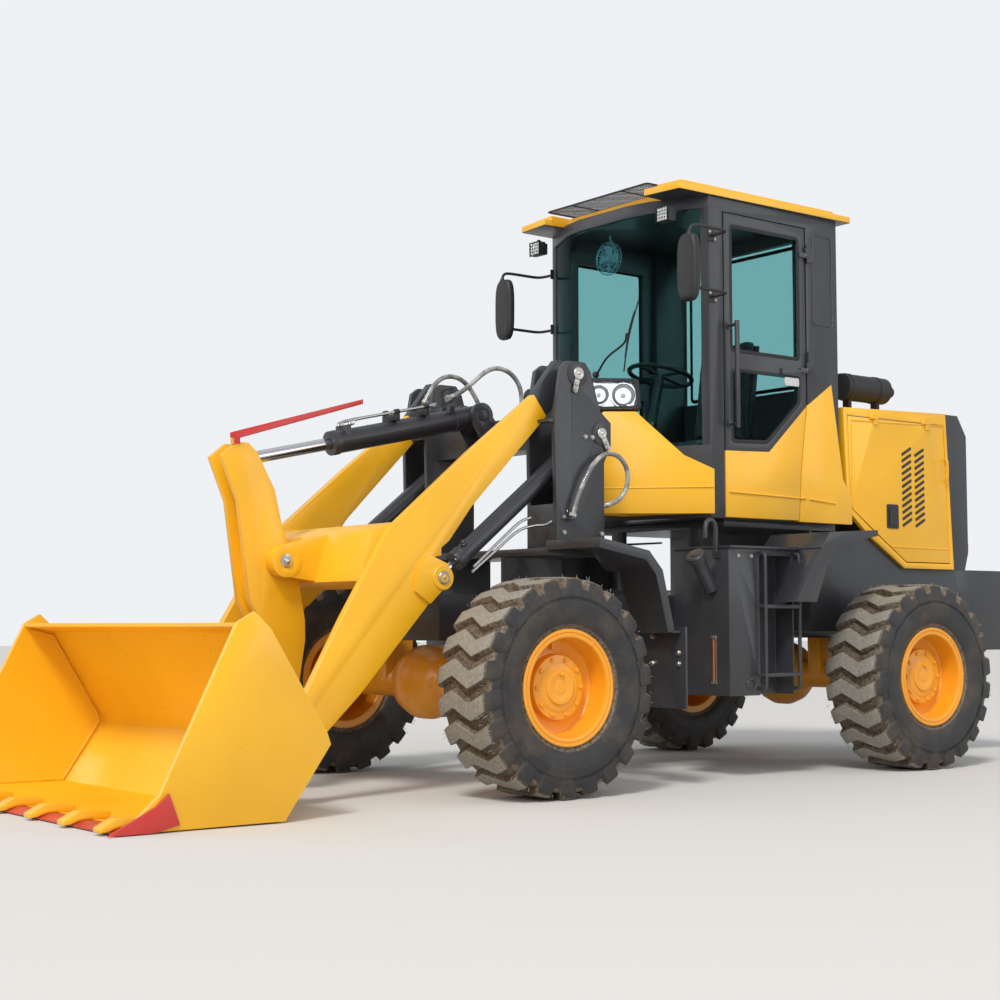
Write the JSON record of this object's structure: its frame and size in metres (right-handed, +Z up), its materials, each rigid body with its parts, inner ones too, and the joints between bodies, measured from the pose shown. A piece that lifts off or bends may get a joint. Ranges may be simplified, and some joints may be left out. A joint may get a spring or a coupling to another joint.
{
  "type": "wheel loader",
  "caption": "Small articulated wheel loader with cab, boxed lift arms, rocker and link to a wide bucket, four lugged tyres and a rear engine hood.",
  "frame": {"origin": "On the ground under the middle of the machine's length, on its centre plane.", "axes": "X to the machine's left, -Y forward toward the bucket, Z up."},
  "size_m": [2.387, 6.722, 3.357],
  "materials": {
    "yellow_paint": "semi-gloss enamel",
    "charcoal_paint": "satin enamel",
    "red_paint": "worn enamel",
    "tyre": "dusty rubber",
    "clear_glass": "tinted glass",
    "black_plastic": "grained",
    "lamp_plastic": "clear and chrome",
    "rod_chrome": "polished",
    "bare_steel": "greased",
    "dark_iron": "painted",
    "seat_fabric": "woven",
    "hose_rubber": "braided in a clear wrap"
  },
  "bodies": {
    "chassis": {"rear_frame": "charcoal_paint", "rear_axle": "yellow_paint", "counterweight": "charcoal_paint", "engine_block": "dark_iron", "hood": "yellow_paint", "rear_grille": "charcoal_paint", "muffler": "charcoal_paint", "cab_shell": "charcoal_paint", "cab_panels": "yellow_paint", "cab_glass": "clear_glass", "cab_roof": "yellow_paint", "sun_visor": "black_plastic", "seat_base": "charcoal_paint", "seat_cushion": "seat_fabric", "steering_column": "charcoal_paint", "control_box": "charcoal_paint", "lamps": "lamp_plastic", "mirrors": "black_plastic", "tanks": "charcoal_paint", "rear_fenders": "charcoal_paint"},
    "front_chassis": {"front_frame": "charcoal_paint", "loader_tower": "charcoal_paint", "front_axle": "yellow_paint", "front_fenders": "charcoal_paint", "tilt_hose_left": "hose_rubber", "tilt_hose_right": "hose_rubber", "lift_hose": "hose_rubber"},
    "wheel_front_left": {"tyre_front_left": "tyre", "rim_front_left": "yellow_paint"},
    "wheel_front_right": {"tyre_front_right": "tyre", "rim_front_right": "yellow_paint"},
    "wheel_rear_left": {"tyre_rear_left": "tyre", "rim_rear_left": "yellow_paint"},
    "wheel_rear_right": {"tyre_rear_right": "tyre", "rim_rear_right": "yellow_paint"},
    "lift_arm": {"boom": "yellow_paint"},
    "rocker_shaft": {"rocker_pin": "bare_steel"},
    "rocker_arm": {"rocker": "yellow_paint"},
    "bucket_shaft": {"bucket_pins": "bare_steel"},
    "bucket_body": {"bucket": "yellow_paint", "cutting_edge": "red_paint", "bucket_teeth": "yellow_paint"},
    "link_shaft": {"link_pin": "bare_steel"},
    "link_arm": {"tilt_link": "yellow_paint"},
    "lift_barrel_left": {"lift_barrel_left": "charcoal_paint"},
    "lift_rod_left": {"lift_rod_left": "rod_chrome"},
    "lift_barrel_right": {"lift_barrel_right": "charcoal_paint"},
    "lift_rod_right": {"lift_rod_right": "rod_chrome"},
    "tilt_barrel": {"tilt_barrel": "charcoal_paint"},
    "tilt_rod": {"tilt_rod": "rod_chrome"},
    "steer_barrel_left": {"steer_barrel_left": "charcoal_paint"},
    "steer_rod_left": {"steer_rod_left": "rod_chrome"},
    "steer_barrel_right": {"steer_barrel_right": "charcoal_paint"},
    "steer_rod_right": {"steer_rod_right": "rod_chrome"},
    "cab_door": {"cab_door": "charcoal_paint", "cab_door_panel": "yellow_paint", "cab_door_glass": "clear_glass", "grab_rail": "charcoal_paint"},
    "hood_door_left": {"hood_door_left": "yellow_paint"},
    "hood_door_right": {"hood_door_right": "yellow_paint"}
  },
  "joints": [
    {"name": "articulation", "type": "hinge", "parent": "chassis", "child": "front_chassis", "pos_m": [0, 0.411, 0.785], "axis": [0, 0, 1], "range_deg": [-35, 35]},
    {"name": "wheel_front_left_spin", "type": "hinge", "parent": "front_chassis", "child": "wheel_front_left", "pos_m": [0.9905, -0.9725, 0.5375], "axis": [1, 0, 0], "continuous": true},
    {"name": "wheel_rear_left_spin", "type": "hinge", "parent": "chassis", "child": "wheel_rear_left", "pos_m": [0.9905, 1.7945, 0.5375], "axis": [1, 0, 0], "continuous": true},
    {"name": "wheel_front_right_spin", "type": "hinge", "parent": "front_chassis", "child": "wheel_front_right", "pos_m": [-0.9905, -0.9725, 0.5375], "axis": [1, 0, 0], "continuous": true},
    {"name": "wheel_rear_right_spin", "type": "hinge", "parent": "chassis", "child": "wheel_rear_right", "pos_m": [-0.9905, 1.7945, 0.5375], "axis": [1, 0, 0], "continuous": true},
    {"name": "boom_lift", "type": "hinge", "parent": "front_chassis", "child": "lift_arm", "pos_m": [0, -0.513, 2.161], "axis": [-1, 0, 0], "range_deg": [0, 85]},
    {"name": "rocker_shaft_turn", "type": "hinge", "parent": "lift_arm", "child": "rocker_shaft", "pos_m": [0, -1.949, 1.16], "axis": [-1, 0, 0], "range_deg": [-0.2, 21.58]},
    {"name": "rocker_turn", "type": "hinge", "parent": "rocker_shaft", "child": "rocker_arm", "pos_m": [0, -1.949, 1.16], "axis": [-1, 0, 0], "range_deg": [-7.63, 7.12]},
    {"name": "bucket_shaft_turn", "type": "hinge", "parent": "lift_arm", "child": "bucket_shaft", "pos_m": [0, -2.175, 0.285], "axis": [-1, 0, 0], "range_deg": [-85.2, 0.2]},
    {"name": "bucket_tilt", "type": "hinge", "parent": "bucket_shaft", "child": "bucket_body", "pos_m": [0, -2.175, 0.285], "axis": [-1, 0, 0], "range_deg": [-40, 43]},
    {"name": "link_shaft_turn", "type": "hinge", "parent": "bucket_body", "child": "link_shaft", "pos_m": [0, -2.298, 0.4675], "axis": [-1, 0, 0], "range_deg": [-0.2, 30.66]},
    {"name": "link_turn", "type": "hinge", "parent": "link_shaft", "child": "link_arm", "pos_m": [0, -2.298, 0.4675], "axis": [-1, 0, 0], "range_deg": [-26.9, 25.04]},
    {"name": "lift_barrel_left_turn", "type": "hinge", "parent": "front_chassis", "child": "lift_barrel_left", "pos_m": [0.573, -0.351, 1.855], "axis": [-1, 0, 0], "range_deg": [-0.2, 78.26]},
    {"name": "lift_rod_left_slide", "type": "slide", "parent": "lift_barrel_left", "child": "lift_rod_left", "axis": [0, -0.7822, -0.623], "range_m": [-0.001, 0.44398]},
    {"name": "lift_barrel_right_turn", "type": "hinge", "parent": "front_chassis", "child": "lift_barrel_right", "pos_m": [-0.573, -0.351, 1.855], "axis": [-1, 0, 0], "range_deg": [-0.2, 78.26]},
    {"name": "lift_rod_right_slide", "type": "slide", "parent": "lift_barrel_right", "child": "lift_rod_right", "axis": [0, -0.7822, -0.623], "range_m": [-0.001, 0.44398]},
    {"name": "tilt_barrel_turn", "type": "hinge", "parent": "front_chassis", "child": "tilt_barrel", "pos_m": [0, -0.681, 1.986], "axis": [-1, 0, 0], "range_deg": [-0.2, 88.66]},
    {"name": "tilt_rod_slide", "type": "slide", "parent": "tilt_barrel", "child": "tilt_rod", "axis": [0, -0.976, -0.2176], "range_m": [-0.06271, 0.06734]},
    {"name": "steer_barrel_left_turn", "type": "hinge", "parent": "chassis", "child": "steer_barrel_left", "pos_m": [0.34, 1.011, 0.7], "axis": [0, 0, 1], "range_deg": [-11.22, 11.22]},
    {"name": "steer_rod_left_slide", "type": "slide", "parent": "steer_barrel_left", "child": "steer_rod_left", "axis": [0.0232, -0.9997, 0], "range_m": [-0.21529, 0.21529]},
    {"name": "steer_barrel_right_turn", "type": "hinge", "parent": "chassis", "child": "steer_barrel_right", "pos_m": [-0.34, 1.011, 0.7], "axis": [0, 0, 1], "range_deg": [-11.22, 11.22]},
    {"name": "steer_rod_right_slide", "type": "slide", "parent": "steer_barrel_right", "child": "steer_rod_right", "axis": [-0.0232, -0.9997, 0], "range_m": [-0.21529, 0.21529]},
    {"name": "cab_door_swing", "type": "hinge", "parent": "chassis", "child": "cab_door", "pos_m": [0.7, 1.273, 2], "axis": [0, 0, 1], "range_deg": [0, 95]},
    {"name": "hood_door_left_swing", "type": "hinge", "parent": "chassis", "child": "hood_door_left", "pos_m": [0.6283, 2.171, 2.112], "axis": [0, -1, 0], "range_deg": [0, 75]},
    {"name": "hood_door_right_swing", "type": "hinge", "parent": "chassis", "child": "hood_door_right", "pos_m": [-0.6283, 2.171, 2.112], "axis": [0, 1, 0], "range_deg": [0, 75]}
  ],
  "couplings": [
    {"joint": "rocker_shaft_turn", "follows": "boom_lift", "ratio": 0.2515},
    {"joint": "rocker_turn", "follows": "bucket_tilt", "ratio": -0.1729},
    {"joint": "bucket_shaft_turn", "follows": "boom_lift", "ratio": -1},
    {"joint": "link_shaft_turn", "follows": "boom_lift", "ratio": 0.3584},
    {"joint": "link_turn", "follows": "bucket_tilt", "ratio": -0.6209},
    {"joint": "lift_barrel_left_turn", "follows": "boom_lift", "ratio": 0.9184},
    {"joint": "lift_rod_left_slide", "follows": "boom_lift", "m_per_rad": 0.2986},
    {"joint": "lift_barrel_right_turn", "follows": "boom_lift", "ratio": 0.9184},
    {"joint": "lift_rod_right_slide", "follows": "boom_lift", "m_per_rad": 0.2986},
    {"joint": "tilt_barrel_turn", "follows": "boom_lift", "ratio": 1.0407},
    {"joint": "tilt_rod_slide", "follows": "bucket_tilt", "m_per_rad": 0.0884},
    {"joint": "steer_barrel_left_turn", "follows": "articulation", "ratio": 0.3148},
    {"joint": "steer_rod_left_slide", "follows": "articulation", "m_per_rad": -0.3508},
    {"joint": "steer_barrel_right_turn", "follows": "articulation", "ratio": 0.3148},
    {"joint": "steer_rod_right_slide", "follows": "articulation", "m_per_rad": 0.3508}
  ]
}
